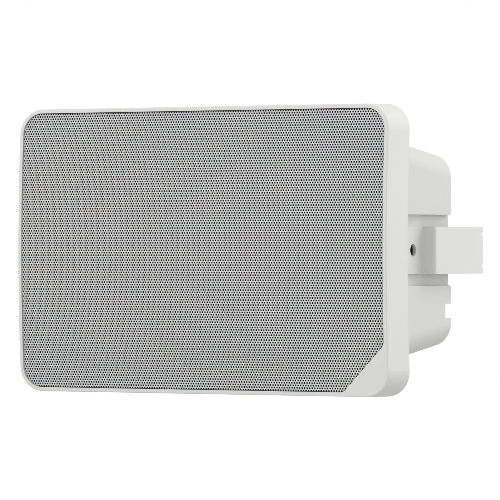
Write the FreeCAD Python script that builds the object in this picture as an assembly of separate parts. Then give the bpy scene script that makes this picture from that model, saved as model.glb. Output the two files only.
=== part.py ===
import FreeCAD, Part
import math
import os
from FreeCAD import Vector

os.makedirs("parts", exist_ok=True)

# Frame: millimetres, wall plane at y = 0, speaker towards -y, +x right seen from the front, +z up.
# A "depth" is measured back from the foremost point of the front, so y = depth - reach.

# Front frame
front_width = 252.0
front_height = 170.0
front_corner = 15.0
front_arc = 1000.0
frame_depth = 26.0
frame_wall = 2.5
frame_draft = 0.018
front_edge_round = 0.8
rim = 2.3
cut_leg = 27.7
cut_round = 6.0
ledge_depth = 1.5
ledge_width = 2.2
baffle_depth = 10.0
baffle_thickness = 3.0
seal_rib = 3.5

# Grille sheet and cloth
sheet_thickness = 0.5
sheet_clearance = 0.45
hole_pitch = 1.69
hole_diameter = 1.2
row_pitch = hole_pitch * math.sqrt(0.75)
row_spans = 2
row_bridge = 2.4
sheet_border = 2.6
cloth_thickness = 0.4
cloth_clearance = 0.15
cloth_front = ledge_depth - cloth_thickness

# Rear housing
housing_depth = 117.0
wall = 2.5
rear_side_inset = 17.3
rear_top_inset = 27.3
rear_corner = 14.0
side_draft = 0.024
top_draft = 0.128
rear_edge_round = 1.2
flange_depth = 20.5
flange_thickness = 3.0
flange_clearance = 0.3
gasket_thickness = 1.0
screw_side_inset = 28.0
boss_radius = 3.8
boss_floor = 2.0

# Side channels and pivot
channel_half = 21.0
channel_step = 2.3
channel_edge_round = 0.4
channel_end_round = 3.8
pivot_depth = 67.0
pivot_hole = 3.7
pivot_play = 0.08
collar_length = 0.6
insert_radius = 4.5
insert_length = 10.0
insert_bore = 2.5
pivot_boss = 7.5
pivot_boss_length = 10.5

# Wall bracket, one bent strip
wall_gap = 29.0
strip_thickness = 2.0
strip_width = 28.2
arm_gap = 0.3
arm_front = 14.0
arm_corner = 3.0
joggle_start = 13.7
joggle_run = 1.2
joggle_offset = 7.8
joggle_round = 0.4
bend_round = 1.0
bend_slot_radius = 0.9
bend_slot_length = 5.4
bend_slot_height = 9.4
slot_spacing = 120.0
slot_radius = 3.0
slot_length = 14.0

# Terminal recess and cable notch
recess_side_inset = 8.7
recess_low_inset = 7.7
recess_width = 42.0
recess_height = 26.0
recess_deep = 12.0
notch_rise = 13.5
notch_width = 8.8
notch_deep = 8.5

# Terminal block
block_inset = 2.0
block_width = 14.0
block_height = 20.0
block_deep = 9.0
pole_pitch = 10.0
clamp_radius = 2.6
clamp_clearance = 0.2
clamp_seat = 5.0
clamp_sunk = 1.0
clamp_slot_depth = 1.0
entry_radius = 1.7
entry_height = 3.0
pin_radius = 0.8
pin_inside = 5.0

# Woofer
woofer_top_gap = 23.0
woofer_side_gap = 1.5
woofer_land = 7.4
woofer_screw_inset = 3.6
basket_flange = 12.0
basket_sheet = 1.2
shelf_radius = 36.0
shelf_drop = 24.0
seat_drop = 34.0
cup_radius = 32.0
window_width = 34.0
window_near = 5.0
window_far = 4.0
window_inset = 2.0
roll_radius = 4.0
film = 0.8
lip_width = 3.5
cone_drop = 18.6
coil_radius = 12.5
former_thickness = 0.2
former_neck = 1.0
winding_thickness = 0.5
coil_clearance = 0.4
winding_length = 8.0
plate_radius = 36.0
plate_thickness = 5.0
magnet_radius = 40.0
magnet_bore = 18.0
magnet_thickness = 14.0
pole_proud = 0.5
cap_radius = 17.0
cap_rise = 5.4
cap_edge = 0.8
cap_film = 0.5
spider_waves = 4
spider_wave = 1.1
spider_sheet = 0.5
woofer_tag_inset = 2.0
woofer_tag_width = 5.0
woofer_tag_span = 12.0
woofer_tag_deep = 6.0

# Tweeter
tweeter_side_gap = 3.5
tweeter_radius = 27.0
tweeter_mouth = 17.0
mouth_taper = 0.8
tweeter_gasket_thickness = 0.5
face_thickness = 2.0
tweeter_screw_inset = 3.1
dome_radius = 12.7
dome_rise = 4.6
dome_film = 0.3
dome_roll = 1.1
dome_lip = 1.0
dome_flange = 1.5
tweeter_coil_thickness = 0.3
tweeter_coil_length = 4.0
tweeter_gap = 0.4
tweeter_plate = 3.0
tweeter_plate_radius = 20.0
tweeter_magnet_thickness = 7.0
tweeter_magnet_radius = 21.0
tweeter_magnet_bore = 15.5
tweeter_pole_sunk = 0.5
tweeter_tag_width = 12.0
tweeter_tag_height = 6.0
tweeter_tag_deep = 2.0

# Crossover
board_side_inset = 68.7
board_top_inset = 30.7
board_width = 70.0
board_height = 44.0
board_thickness = 1.6
board_standoff = 6.0
board_hole_inset = 4.0
standoff_radius = 3.2
inductor_radius = 13.0
inductor_core = 5.0
inductor_height = 11.0
inductor_inset = 7.0
cheek = 1.2
coil_sunk = 1.0
capacitor_radius = 6.0
capacitor_length = 24.0
capacitor_side = 8.0
capacitor_top = 3.0
resistor_length = 22.0
resistor_width = 9.0
resistor_height = 9.0
resistor_side = 9.0
resistor_low = 6.5

# Screws and leads
screw_thread = 1.4
screw_head = 2.7
screw_head_height = 1.8
screw_socket = 1.0
screw_clearance = 0.2
cross_width = 0.7
cross_length = 3.0
housing_screw_grip = 6.0
board_screw_grip = 4.0
driver_pad_radius = 3.3
driver_pad_length = 3.5
driver_hole_length = 2.5
lead_radius = 1.1
lead_pitch = 8.0
lead_foot = 3.0
input_run = 12.0
input_drop = 2.0
input_land = 8.0
woofer_run = 40.0
woofer_land_drop = 6.0
woofer_land_pitch = 10.0
tweeter_run = 22.0
tweeter_land_rise = 3.0
tweeter_land_pitch = 6.0
lead_over_board = 20.0

# How far a cutting shape runs past the face it cuts, and how near counts as touching
past = 5.0
touch = 0.01

# Derived places: cabinet
reach = housing_depth + wall_gap
half_width = front_width / 2
half_height = front_height / 2
rear_half_x = half_width - rear_side_inset
rear_half_z = half_height - rear_top_inset
baffle_back = baffle_depth + baffle_thickness
floor_x = rear_half_x - channel_step
arm_x = floor_x + arm_gap
flange_half_x = half_width - frame_wall - flange_clearance
flange_half_z = half_height - frame_wall - flange_clearance
flange_corner = front_corner - frame_wall - flange_clearance
flange_back = flange_depth + flange_thickness
inside_depth = housing_depth - wall
tub_run = housing_depth - flange_depth
tub_half_x = rear_half_x + side_draft * tub_run
tub_half_z = rear_half_z + top_draft * tub_run
screw_row = (tub_half_z + flange_half_z) / 2
screw_column = half_width - screw_side_inset
recess_right = rear_half_x - recess_side_inset
recess_left = recess_right - recess_width
recess_low = recess_low_inset - rear_half_z
recess_high = recess_low + recess_height
recess_floor = housing_depth - recess_deep
notch_middle = recess_low + notch_rise
block_left = recess_left + block_inset
pole_x = block_left + block_width / 2
block_middle = (recess_low + recess_high) / 2
board_x = rear_half_x - board_side_inset
board_z = rear_half_z - board_top_inset
board_back = inside_depth - board_standoff
board_front = board_back - board_thickness

# Derived places: woofer
woofer_radius = half_height - woofer_top_gap
woofer_x = woofer_radius + woofer_side_gap + seal_rib - tub_half_x
woofer_opening = woofer_radius - woofer_land
woofer_face = baffle_back + gasket_thickness
basket_throat = woofer_radius - basket_flange
roll_inner = basket_throat - 2 * roll_radius
pole_radius = coil_radius - coil_clearance
former_outer = coil_radius + former_thickness
gap_outer = former_outer + winding_thickness + coil_clearance
plate_front = woofer_face + seat_drop
magnet_front = plate_front + plate_thickness
yoke_front = magnet_front + magnet_thickness
cone_slope = cone_drop / (roll_inner - former_outer)
coil_end = plate_front + plate_thickness / 2 + winding_length / 2

# Derived places: tweeter
tweeter_x = tub_half_x - seal_rib - tweeter_side_gap - tweeter_radius
tweeter_face = baffle_back + tweeter_gasket_thickness
tweeter_back = tweeter_face + face_thickness
tweeter_plate_front = tweeter_back + dome_film
tweeter_magnet_front = tweeter_plate_front + tweeter_plate
tweeter_yoke_front = tweeter_magnet_front + tweeter_magnet_thickness
tweeter_rear = tweeter_yoke_front + tweeter_plate


def back(depth):
    return depth - reach


def bow(z):
    return front_arc - math.sqrt(front_arc ** 2 - z ** 2)


def rounded_wire(corners, depth):
    # corners: (x, z, radius) in order round the outline
    points = [Vector(x, back(depth), z) for x, z, r in corners]
    ends = []
    for i, (x, z, radius) in enumerate(corners):
        here = points[i]
        before = (points[i - 1] - here).normalize()
        after = (points[(i + 1) % len(points)] - here).normalize()
        half = before.getAngle(after) / 2
        reach_along = radius / math.tan(half)
        inward = (before + after).normalize()
        middle = here + inward * (radius / math.sin(half) - radius)
        ends.append((here + before * reach_along, middle, here + after * reach_along))
    edges = []
    for i, (start, middle, end) in enumerate(ends):
        edges.append(Part.Arc(start, middle, end).toShape())
        following = ends[(i + 1) % len(ends)][0]
        edges.append(Part.makeLine(end, following))
    return Part.Wire(edges)


def rect_corners(half_x, half_z, radius):
    signs = ((-1, 1), (1, 1), (1, -1), (-1, -1))
    return [(sx * half_x, sz * half_z, radius) for sx, sz in signs]


def opening_corners(inset):
    # the grille opening, its lower right corner cut across at 45 degrees
    half_x = half_width - inset
    half_z = half_height - inset
    leg = cut_leg - (inset - rim) * (2 - math.sqrt(2))
    turn = cut_round - (inset - rim)
    radius = front_corner - inset
    return [
        (-half_x, half_z, radius),
        (half_x, half_z, radius),
        (half_x, leg - half_z, turn),
        (half_x - leg, -half_z, turn),
        (-half_x, -half_z, radius),
    ]


def prism(corners, near, far):
    return Part.Face(rounded_wire(corners, near)).extrude(Vector(0, far - near, 0))


def bowed_slab(near, far):
    # everything between two depths that follow the bow of the front
    edge_z = half_height + past
    left = -half_width - past
    lines = []
    for depth in (near, far):
        lines.append([Vector(left, back(depth) + bow(z), z) for z in (-edge_z, 0, edge_z)])
    near_line, far_line = lines
    wire = Part.Wire([
        Part.Arc(*near_line).toShape(),
        Part.makeLine(near_line[2], far_line[2]),
        Part.Arc(*reversed(far_line)).toShape(),
        Part.makeLine(far_line[0], near_line[0]),
    ])
    return Part.Face(wire).extrude(Vector(front_width + 2 * past, 0, 0))


def box(x0, x1, near, far, z0, z1):
    return Part.makeBox(x1 - x0, far - near, z1 - z0, Vector(x0, back(near), z0))


def rod(x, z, radius, near, far):
    return Part.makeCylinder(radius, far - near, Vector(x, back(near), z), Vector(0, 1, 0))


def tube(x, z, outer, inner, near, far):
    return rod(x, z, outer, near, far).cut(rod(x, z, inner, near, far))


def across(depth, z, radius, x0, x1):
    return Part.makeCylinder(radius, x1 - x0, Vector(x0, back(depth), z), Vector(1, 0, 0))


def turned(x, z, profile):
    # profile: (radius, depth) points; a four-number entry is an arc (through r, d, to r, d)
    def point(r, d):
        return Vector(x + r, back(d), z)
    edges = []
    here = point(*profile[0])
    for step in list(profile[1:]) + [profile[0]]:
        there = point(*step[-2:])
        if len(step) == 4:
            edges.append(Part.Arc(here, point(*step[:2]), there).toShape())
        else:
            edges.append(Part.makeLine(here, there))
        here = there
    return Part.Face(Part.Wire(edges)).revolve(Vector(x, 0, z), Vector(0, 1, 0), 360)


def dome_middle(radius, top, base):
    # the point halfway along a spherical cap's profile
    rise = base - top
    sphere = (radius ** 2 + rise ** 2) / (2 * rise)
    return radius / 2, top + sphere - math.sqrt(sphere ** 2 - (radius / 2) ** 2)


def four_about(x, radius):
    # four places on a circle, on the diagonals
    places = []
    for angle in (45, 135, 225, 315):
        turn = math.radians(angle)
        places.append((x + radius * math.cos(turn), radius * math.sin(turn)))
    return places


def screw_holes(places, near, far):
    return [rod(x, z, screw_thread + screw_clearance, near, far) for x, z in places]


def screw(x, z, seat, length):
    # driven forwards from behind: the head stands behind its seat
    head_end = seat + screw_head_height
    body = rod(x, z, screw_head, seat, head_end)
    body = body.fuse(rod(x, z, screw_thread, seat - length, seat))
    half = cross_width / 2
    end = cross_length / 2
    slots = [
        box(x - half, x + half, head_end - screw_socket, head_end, z - end, z + end),
        box(x - end, x + end, head_end - screw_socket, head_end, z - half, z + half),
    ]
    return body.cut(slots)


def lead(points):
    # a round lead along straight runs joined by arcs
    path = [Vector(x, back(d), z) for x, d, z in points]
    edges = []
    start = path[0]
    for before, here, after in zip(path, path[1:], path[2:]):
        inward = (before - here).normalize()
        onward = (after - here).normalize()
        half = inward.getAngle(onward) / 2
        room = 0.45 * min((before - here).Length, (after - here).Length)
        radius = room * math.tan(half)
        middle = here + (inward + onward).normalize() * (radius / math.sin(half) - radius)
        edges.append(Part.makeLine(start, here + inward * room))
        edges.append(Part.Arc(here + inward * room, middle, here + onward * room).toShape())
        start = here + onward * room
    edges.append(Part.makeLine(start, path[-1]))
    section = Part.Wire(Part.makeCircle(lead_radius, path[0], path[1] - path[0]))
    return Part.Wire(edges).makePipeShell([section], True, False)


def edge_ends(edge):
    return [v.Point for v in edge.Vertexes]


def screw_places():
    columns = (-screw_column, -screw_column / 3, screw_column / 3, screw_column)
    return [(x, z) for z in (-screw_row, screw_row) for x in columns]


def woofer_screw_places():
    return four_about(woofer_x, woofer_radius - woofer_screw_inset)


def tweeter_screw_places():
    return four_about(tweeter_x, tweeter_radius - tweeter_screw_inset)


def board_corners():
    across_x = board_width / 2 - board_hole_inset
    across_z = board_height / 2 - board_hole_inset
    return [(board_x + sx * across_x, board_z + sz * across_z) for sx in (-1, 1) for sz in (-1, 1)]


def pole_places():
    return [block_middle - pole_pitch / 2, block_middle + pole_pitch / 2]


def tub_corners(inset):
    # the housing's outline where it meets its flange
    return rect_corners(tub_half_x - inset, tub_half_z - inset, rear_corner - inset)


def front_edges(shape):
    chosen = []
    for edge in shape.Edges:
        if all(abs(p.y - back(0) - bow(p.z)) < touch for p in edge_ends(edge)):
            chosen.append(edge)
    return chosen


def frame_shell():
    # the frame's outside, growing a little towards the rear
    wires = []
    for depth in (-past, frame_depth + 2 * past):
        growth = frame_draft * depth
        outline = rect_corners(half_width + growth, half_height + growth, front_corner + growth)
        wires.append(rounded_wire(outline, depth))
    return Part.makeLoft(wires, True, True)


def front_frame():
    body = frame_shell().common(bowed_slab(0, frame_depth))
    body = body.makeFillet(front_edge_round, front_edges(body))
    pocket = prism(opening_corners(rim), -past, baffle_depth).common(bowed_slab(-past, ledge_depth))
    body = body.cut(pocket)
    body = body.cut(prism(opening_corners(rim + ledge_width), 0, baffle_depth))
    tray = rect_corners(half_width - frame_wall, half_height - frame_wall, front_corner - frame_wall)
    body = body.cut(prism(tray, baffle_back, frame_depth + 2 * past))
    rib_end = flange_depth - gasket_thickness
    rib = prism(tub_corners(0), baffle_back, rib_end)
    body = body.fuse(rib.cut(prism(tub_corners(seal_rib), baffle_back, rib_end)))
    holes = [
        rod(woofer_x, 0, woofer_opening, 0, baffle_back),
        rod(tweeter_x, 0, tweeter_mouth, 0, baffle_back),
    ]
    pads = []
    for x, z in screw_places():
        pads.append(rod(x, z, boss_radius, baffle_back, flange_depth))
        holes.append(rod(x, z, screw_thread, baffle_back - boss_floor, flange_depth))
    for x, z in woofer_screw_places() + tweeter_screw_places():
        pads.append(rod(x, z, driver_pad_radius, baffle_depth - driver_pad_length, baffle_depth))
        holes.append(rod(x, z, screw_thread, baffle_depth - driver_hole_length, baffle_back))
    return body.fuse(pads).cut(holes).removeSplitter()


def outline_reach(z):
    # how far the grille opening runs to the left and right at a height
    half_x = half_width - rim
    half_z = half_height - rim
    radius = front_corner - rim
    over = max(0.0, abs(z) - (half_z - radius))
    side = half_x - radius + math.sqrt(max(0.0, radius ** 2 - over ** 2))
    cut = half_x + half_z - cut_leg + z
    return -side, min(side, cut)


def perforation():
    # each row of round holes is drawn as broken slits of the same open area
    slit = math.pi * hole_diameter ** 2 / 4 / hole_pitch
    rows = int((half_height - rim - sheet_border) / row_pitch)
    slits = []
    for row in range(-rows, rows + 1):
        z = row * row_pitch
        left, right = outline_reach(z)
        left += sheet_border
        right -= sheet_border
        span = (right - left) / row_spans
        shift = span / 4 if row % 2 else -span / 4
        marks = [left] + [left + span * k + shift for k in range(1, row_spans)] + [right]
        for start, end in zip(marks, marks[1:]):
            slits.append(box(start, end - row_bridge, -past, baffle_depth, z - slit / 2, z + slit / 2))
    return slits


def grille():
    sheet = prism(opening_corners(rim + sheet_clearance), -past, baffle_depth)
    sheet = sheet.common(bowed_slab(cloth_front - sheet_thickness, cloth_front))
    return sheet.cut(Part.makeCompound(perforation()))


def grille_cloth():
    # the cloth lies on the ledge, right up to the pocket's wall, and the sheet on the cloth
    cloth = prism(opening_corners(rim + cloth_clearance), -past, baffle_depth)
    return cloth.common(bowed_slab(cloth_front, ledge_depth))


def cabinet_gasket():
    near = flange_depth - gasket_thickness
    outer = prism(tub_corners(0), near, flange_depth)
    return outer.cut(prism(tub_corners(seal_rib), near, flange_depth))


def tub(inset, far):
    # drafted tub, its section shrinking evenly towards the wall
    wires = []
    for depth in (flange_depth, far):
        run = housing_depth - depth
        half_x = rear_half_x + side_draft * run - inset
        half_z = rear_half_z + top_draft * run - inset
        wires.append(rounded_wire(rect_corners(half_x, half_z, rear_corner - inset), depth))
    return Part.makeLoft(wires, True, True)


def side_box(side, inner, near, far, high):
    # a box from a place inside out past the side of the cabinet
    ends = sorted((inner * side, half_width * side))
    return box(ends[0], ends[1], near, far, -high, high)


def channel_backing(side, far):
    return side_box(side, floor_x - wall, flange_depth, far, channel_half + wall)


def mouth_edges(shape):
    chosen = []
    for edge in shape.Edges:
        ends = edge_ends(edge)
        on_mouth = all(abs(abs(p.z) - channel_half) < touch and abs(p.x) > floor_x + touch for p in ends)
        if on_mouth and abs(ends[0].y - ends[-1].y) > tub_run / 4:
            chosen.append(edge)
    return chosen


def rear_edges(shape):
    rear = back(housing_depth)
    return [edge for edge in shape.Edges if all(abs(p.y - rear) < touch for p in edge_ends(edge))]


def channel_ends():
    # what a round takes off each channel's two corners at the rear
    start = housing_depth - channel_end_round
    high = channel_half + channel_end_round
    ends = []
    for side in (-1, 1):
        span = sorted((floor_x * side, half_width * side))
        for turn in (-1, 1):
            corner = box(*span, start, reach, *sorted((channel_half * turn, high * turn)))
            ends.append(corner.cut(across(start, high * turn, channel_end_round, *span)))
    return ends


def outer_tub():
    body = tub(0, housing_depth)
    body = body.makeFillet(rear_edge_round, rear_edges(body))
    for side in (-1, 1):
        body = body.cut(side_box(side, floor_x, flange_back, reach, channel_half))
    body = body.makeFillet(channel_edge_round, mouth_edges(body))
    return body.cut(channel_ends())


def inner_tub():
    # the hollow, less the walls behind the channels and round the terminal recess
    hollow = tub(wall, inside_depth)
    for side in (-1, 1):
        hollow = hollow.cut(channel_backing(side, housing_depth))
    recess_wall = box(
        recess_left - wall, half_width, recess_floor - wall, housing_depth,
        recess_low - wall, recess_high + wall,
    )
    return hollow.cut(recess_wall)


def rear_housing():
    body = outer_tub().cut(inner_tub())
    flange = prism(rect_corners(flange_half_x, flange_half_z, flange_corner), flange_depth, flange_back)
    mouth = prism(tub_corners(wall), flange_depth, flange_back)
    added = [flange.cut(mouth)]
    cuts = [
        box(recess_left, recess_right, recess_floor, reach, recess_low, recess_high),
        box(recess_right - wall, half_width, housing_depth - notch_deep, reach,
            notch_middle - notch_width / 2, notch_middle + notch_width / 2),
    ]
    for side in (-1, 1):
        boss = sorted(((floor_x - pivot_boss_length) * side, floor_x * side))
        bore = sorted(((floor_x - insert_length) * side, floor_x * side))
        added.append(across(pivot_depth, 0, pivot_boss, *boss))
        added.append(channel_backing(side, flange_back).common(mouth))
        cuts.append(across(pivot_depth, 0, insert_radius, *bore))
    for x, z in board_corners():
        added.append(rod(x, z, standoff_radius, board_back, housing_depth - wall / 2))
        cuts.append(rod(x, z, screw_thread, board_back, inside_depth))
    for z in pole_places():
        cuts.append(rod(pole_x, z, pin_radius, recess_floor - wall, recess_floor))
    cuts += screw_holes(screw_places(), flange_depth, flange_back)
    return body.fuse(added).cut(cuts).removeSplitter()


def housing_screws():
    return [screw(x, z, flange_back, flange_thickness + housing_screw_grip) for x, z in screw_places()]


def pivot_insert(side):
    def span(start, end):
        return sorted((start * side, end * side))
    inner = floor_x - insert_length
    outer = floor_x + collar_length
    body = across(pivot_depth, 0, insert_radius, *span(inner, floor_x))
    body = body.fuse(across(pivot_depth, 0, pivot_hole - pivot_play, *span(floor_x, outer)))
    return body.cut(across(pivot_depth, 0, insert_bore, *span(inner, outer)))


def strip_slot(side):
    middle = side * slot_spacing / 2
    straight = slot_length / 2 - slot_radius
    near = reach - strip_thickness
    slot = box(middle - straight, middle + straight, near, reach, -slot_radius, slot_radius)
    ends = [rod(middle + turn * straight, 0, slot_radius, near, reach) for turn in (-1, 1)]
    return slot.fuse(ends)


def bend_slots(side, face):
    # cut square through the outside of a bend, long way round it
    out = Vector(side, 1, 0).normalize() * (4 * strip_thickness)
    round_way = Vector(side, -1, 0).normalize() * (bend_slot_length / 2 - bend_slot_radius)
    high = Vector(0, 0, bend_slot_radius)
    slots = []
    for z in (-bend_slot_height, bend_slot_height):
        middle = Vector(side * face, back(reach), z) - out
        ends = [middle + round_way, middle - round_way]
        points = [ends[0] + high, ends[0] - high, ends[1] - high, ends[1] + high, ends[0] + high]
        slots.append(Part.Face(Part.makePolygon(points)).extrude(out * 2))
        slots += [Part.makeCylinder(bend_slot_radius, 2 * out.Length, end, out) for end in ends]
    return slots


def wall_bracket():
    inner = arm_x
    outer = arm_x + joggle_offset
    face = outer + strip_thickness
    front = pivot_depth - arm_front
    start = pivot_depth + joggle_start
    end = start + joggle_run
    lean = strip_thickness * math.tan(math.atan2(joggle_offset, joggle_run) / 2)
    right_outer = [
        (inner + strip_thickness, front), (inner + strip_thickness, start - lean),
        (face, end - lean), (face, reach),
    ]
    right_inner = [(outer, reach - strip_thickness), (outer, end), (inner, start), (inner, front)]
    outline = right_outer + [(-x, d) for x, d in reversed(right_outer)]
    outline += [(-x, d) for x, d in reversed(right_inner)] + right_inner
    points = [Vector(x, back(d), -strip_width / 2) for x, d in outline]
    strip = Part.Face(Part.makePolygon(points + points[:1])).extrude(Vector(0, 0, strip_width))
    strip = round_bends(strip, [(face, reach)], bend_round + strip_thickness)
    strip = round_bends(strip, [(outer, reach - strip_thickness)], bend_round)
    strip = round_bends(strip, [(inner, start), (face, end - lean)], joggle_round + strip_thickness)
    strip = round_bends(strip, [(inner + strip_thickness, start - lean), (outer, end)], joggle_round)
    strip = strip.makeFillet(arm_corner, arm_end_edges(strip, front))
    cuts = [across(pivot_depth, 0, pivot_hole, -half_width, half_width)]
    for side in (-1, 1):
        cuts.append(strip_slot(side))
        cuts += bend_slots(side, face)
    return strip.cut(cuts)


def round_bends(strip, places, radius):
    chosen = []
    for edge in strip.Edges:
        ends = edge_ends(edge)
        upright = abs(ends[0].x - ends[-1].x) < touch
        for x, d in places:
            if upright and all(abs(abs(p.x) - x) < touch and abs(p.y - back(d)) < touch for p in ends):
                chosen.append(edge)
    return strip.makeFillet(radius, chosen)


def arm_end_edges(strip, front):
    chosen = []
    for edge in strip.Edges:
        ends = edge_ends(edge)
        along_x = abs(ends[0].x - ends[-1].x) > strip_thickness / 2
        if along_x and all(abs(p.y - back(front)) < touch for p in ends):
            chosen.append(edge)
    return chosen


def terminal_block():
    right = block_left + block_width
    rear = recess_floor + block_deep
    body = box(block_left, right, recess_floor, rear,
               block_middle - block_height / 2, block_middle + block_height / 2)
    cuts = []
    for z in pole_places():
        cuts.append(rod(pole_x, z, clamp_radius + clamp_clearance, recess_floor + clamp_seat, rear))
        cuts.append(across(recess_floor + entry_height, z, entry_radius, pole_x, right))
    return body.cut(cuts)


def terminal_screws():
    end = recess_floor + block_deep - clamp_sunk
    half = cross_width / 2
    screws = []
    for z in pole_places():
        body = rod(pole_x, z, clamp_radius, recess_floor + clamp_seat, end)
        slot = box(pole_x - clamp_radius, pole_x + clamp_radius, end - clamp_slot_depth, end,
                   z - half, z + half)
        screws.append(body.cut(slot))
    return screws


def terminal_pins():
    return [rod(pole_x, z, pin_radius, recess_floor - wall - pin_inside, recess_floor) for z in pole_places()]


def woofer_gasket():
    ring = tube(woofer_x, 0, woofer_radius, woofer_opening, baffle_back, woofer_face)
    return ring.cut(screw_holes(woofer_screw_places(), baffle_back, woofer_face))


def woofer_basket():
    face = woofer_face
    shelf = face + shelf_drop
    seat = face + seat_drop
    sheet = basket_sheet
    body = turned(woofer_x, 0, [
        (woofer_radius, face), (basket_throat + film / 2, face), (shelf_radius - film / 2, shelf),
        (cup_radius, shelf), (cup_radius, seat - sheet), (magnet_bore, seat - sheet), (magnet_bore, seat),
        (cup_radius + sheet, seat), (cup_radius + sheet, shelf + sheet), (shelf_radius + film, shelf + sheet),
        (basket_throat + sheet, face + sheet), (woofer_radius, face + sheet),
    ])
    cuts = screw_holes(woofer_screw_places(), face, face + sheet)
    for turn in (45, 135, 225, 315):
        window = box(woofer_x + cup_radius + window_inset, woofer_x + woofer_radius, face + window_near,
                     shelf - window_far, -window_width / 2, window_width / 2)
        window.rotate(Vector(woofer_x, 0, 0), Vector(0, 1, 0), turn)
        cuts.append(window)
    return body.cut(cuts)


def woofer_surround():
    face = woofer_face
    outer = basket_throat + film / 2
    inner = roll_inner
    mid = (outer + inner) / 2
    base = face - film
    rise = (outer - inner) / 2
    return turned(woofer_x, 0, [
        (outer + lip_width, base), (outer, base), (mid, base - rise, inner, base), (inner, face + film),
        (inner + film, face + film), (inner + film, base), (mid, base - rise + film, outer - film, base),
        (outer - film, face), (outer + lip_width, face),
    ])


def cone_depth(radius):
    return woofer_face + (roll_inner - radius) * cone_slope


def woofer_cone():
    neck = cone_depth(former_outer)
    return turned(woofer_x, 0, [
        (roll_inner, woofer_face), (former_outer, neck), (former_outer, neck + film),
        (roll_inner, woofer_face + film),
    ])


def woofer_dust_cap():
    inner = cap_radius - cap_edge
    top = cone_depth(cap_radius) - cap_rise
    outer_arc = dome_middle(cap_radius, top, cone_depth(cap_radius))
    inner_arc = dome_middle(inner, top + cap_film, cone_depth(inner))
    return turned(woofer_x, 0, [
        (0, top), outer_arc + (cap_radius, cone_depth(cap_radius)), (inner, cone_depth(inner)),
        inner_arc + (0, top + cap_film),
    ])


def woofer_former():
    return tube(woofer_x, 0, former_outer, coil_radius, cone_depth(former_outer) - former_neck, coil_end)


def woofer_winding():
    outer = former_outer + winding_thickness
    return tube(woofer_x, 0, outer, former_outer, coil_end - winding_length, coil_end)


def woofer_spider():
    # a corrugated disc from the basket's shelf to the former
    face = woofer_face + shelf_drop
    step = (cup_radius - former_outer) / (2 * spider_waves)
    line = [(shelf_radius - film, face), (cup_radius, face)]
    for k in range(1, 2 * spider_waves):
        swing = spider_wave if k % 2 else -spider_wave
        line.append((cup_radius - step * k, face + swing))
    line.append((former_outer, face))
    return turned(woofer_x, 0, line + [(r, d - spider_sheet) for r, d in reversed(line)])


def woofer_top_plate():
    return tube(woofer_x, 0, plate_radius, gap_outer, plate_front, magnet_front)


def woofer_magnet():
    return tube(woofer_x, 0, magnet_radius, magnet_bore, magnet_front, yoke_front)


def woofer_yoke():
    plate = rod(woofer_x, 0, plate_radius, yoke_front, yoke_front + plate_thickness)
    return plate.fuse(rod(woofer_x, 0, pole_radius, plate_front - pole_proud, yoke_front)).removeSplitter()


def woofer_tag_x():
    return woofer_x + woofer_radius - woofer_tag_inset - woofer_tag_width / 2


def woofer_tag():
    # a strip for two leads that stands on the basket's rim
    x = woofer_tag_x()
    half = woofer_tag_width / 2
    face = woofer_face + basket_sheet
    return box(x - half, x + half, face, face + woofer_tag_deep, -woofer_tag_span / 2, woofer_tag_span / 2)


def woofer_screws():
    face = woofer_face + basket_sheet
    return [screw(x, z, face, face - baffle_depth) for x, z in woofer_screw_places()]


def tweeter_gasket():
    ring = tube(tweeter_x, 0, tweeter_radius, tweeter_mouth, baffle_back, tweeter_face)
    return ring.cut(screw_holes(tweeter_screw_places(), baffle_back, tweeter_face))


def tweeter_faceplate():
    body = turned(tweeter_x, 0, [
        (tweeter_radius, tweeter_face), (tweeter_mouth, tweeter_face),
        (tweeter_mouth - mouth_taper, tweeter_back), (tweeter_radius, tweeter_back),
    ])
    return body.cut(screw_holes(tweeter_screw_places(), tweeter_face, tweeter_back))


def tweeter_dome():
    base = tweeter_back
    rear = base + dome_film
    top = base - dome_rise
    lip = tweeter_mouth - dome_lip
    edge = tweeter_plate_radius - dome_flange
    roll = (lip + dome_radius) / 2
    arc_r, arc_d = dome_middle(dome_radius, top, base)
    return turned(tweeter_x, 0, [
        (edge, base), (lip, base), (roll, base - dome_roll, dome_radius, base), (arc_r, arc_d, 0, top),
        (0, top + dome_film), (arc_r, arc_d + dome_film, dome_radius, rear),
        (roll, rear - dome_roll, lip, rear), (edge, rear),
    ])


def tweeter_coil():
    inner = dome_radius - tweeter_coil_thickness
    far = tweeter_plate_front + tweeter_coil_length
    return tube(tweeter_x, 0, dome_radius, inner, tweeter_plate_front, far)


def tweeter_top_plate():
    bore = dome_radius + tweeter_gap
    return tube(tweeter_x, 0, tweeter_plate_radius, bore, tweeter_plate_front, tweeter_magnet_front)


def tweeter_magnet():
    return tube(tweeter_x, 0, tweeter_magnet_radius, tweeter_magnet_bore,
                tweeter_magnet_front, tweeter_yoke_front)


def tweeter_yoke():
    pole = dome_radius - tweeter_coil_thickness - tweeter_gap
    plate = rod(tweeter_x, 0, tweeter_plate_radius, tweeter_yoke_front, tweeter_rear)
    post = rod(tweeter_x, 0, pole, tweeter_plate_front + tweeter_pole_sunk, tweeter_yoke_front)
    return plate.fuse(post).removeSplitter()


def tweeter_tag():
    half_x = tweeter_tag_width / 2
    half_z = tweeter_tag_height / 2
    return box(tweeter_x - half_x, tweeter_x + half_x, tweeter_rear, tweeter_rear + tweeter_tag_deep,
               -half_z, half_z)


def tweeter_screws():
    return [screw(x, z, tweeter_back, tweeter_back - baffle_depth) for x, z in tweeter_screw_places()]


def crossover_board():
    half_x = board_width / 2
    half_z = board_height / 2
    body = box(board_x - half_x, board_x + half_x, board_front, board_back,
               board_z - half_z, board_z + half_z)
    return body.cut(screw_holes(board_corners(), board_front, board_back))


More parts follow.
